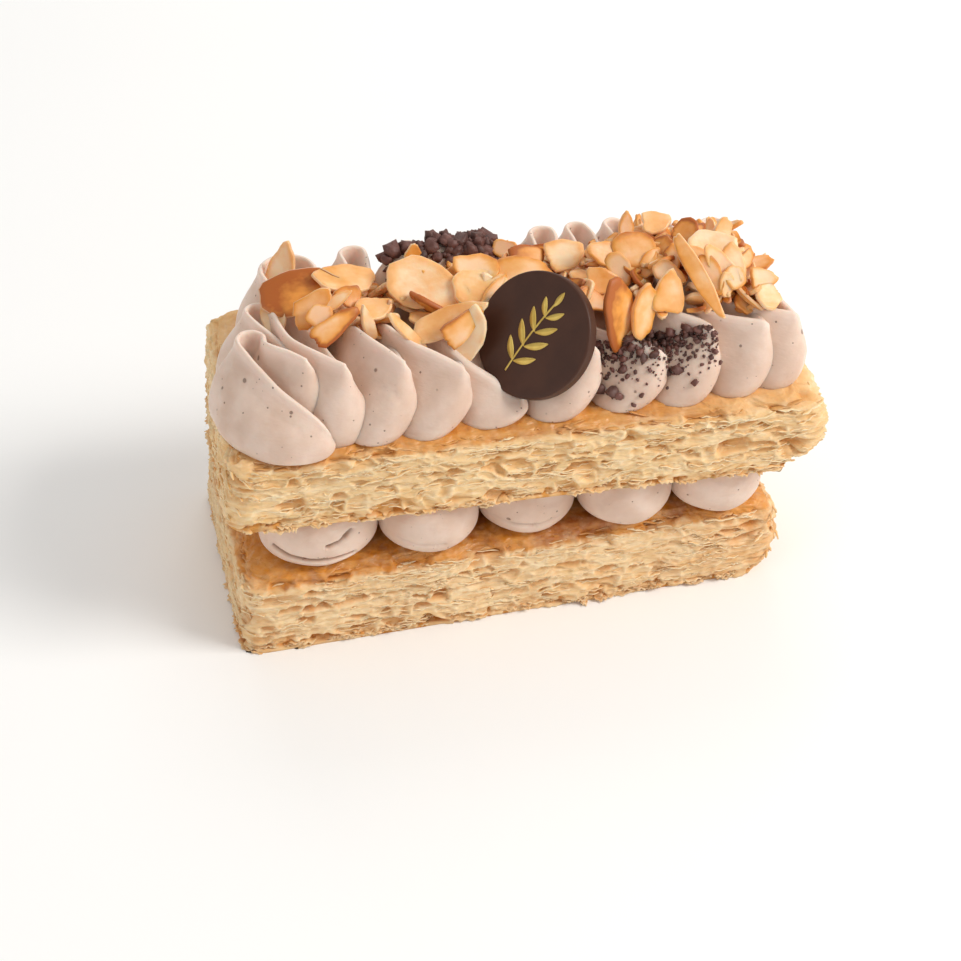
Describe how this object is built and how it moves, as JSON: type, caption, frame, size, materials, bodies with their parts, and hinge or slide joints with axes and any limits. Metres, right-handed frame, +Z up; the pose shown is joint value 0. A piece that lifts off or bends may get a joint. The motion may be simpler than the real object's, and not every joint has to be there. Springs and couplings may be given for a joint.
{
  "type": "mille feuille slice",
  "caption": "Slice of mille feuille: two flaky pastry slabs with piped cream between, a ruffle of piped cream, toasted almond flakes and a chocolate disc on top.",
  "frame": {"origin": "centre of the bounding box at the level of the lower pastry's flat underside", "axes": "+X along the slice, -Y towards its front, +Z up"},
  "size_m": [0.135, 0.07, 0.0786],
  "materials": {
    "pastry": "dry, flaky, golden to caramel brown",
    "cream": "satin whipped ganache, pale pinkish beige",
    "almond": "toasted, slightly oily, pale cream to deep orange brown",
    "chocolate": "dark chocolate, satin with a soft sheen"
  },
  "bodies": {
    "root": {"lower_pastry": "pastry", "upper_pastry": "pastry", "filling_1": "cream", "filling_2": "cream", "filling_3": "cream", "filling_4": "cream", "filling_5": "cream", "cream_ruffle": "cream", "almond_heap": "almond", "chocolate_disc": "chocolate"}
  },
  "joints": []
}
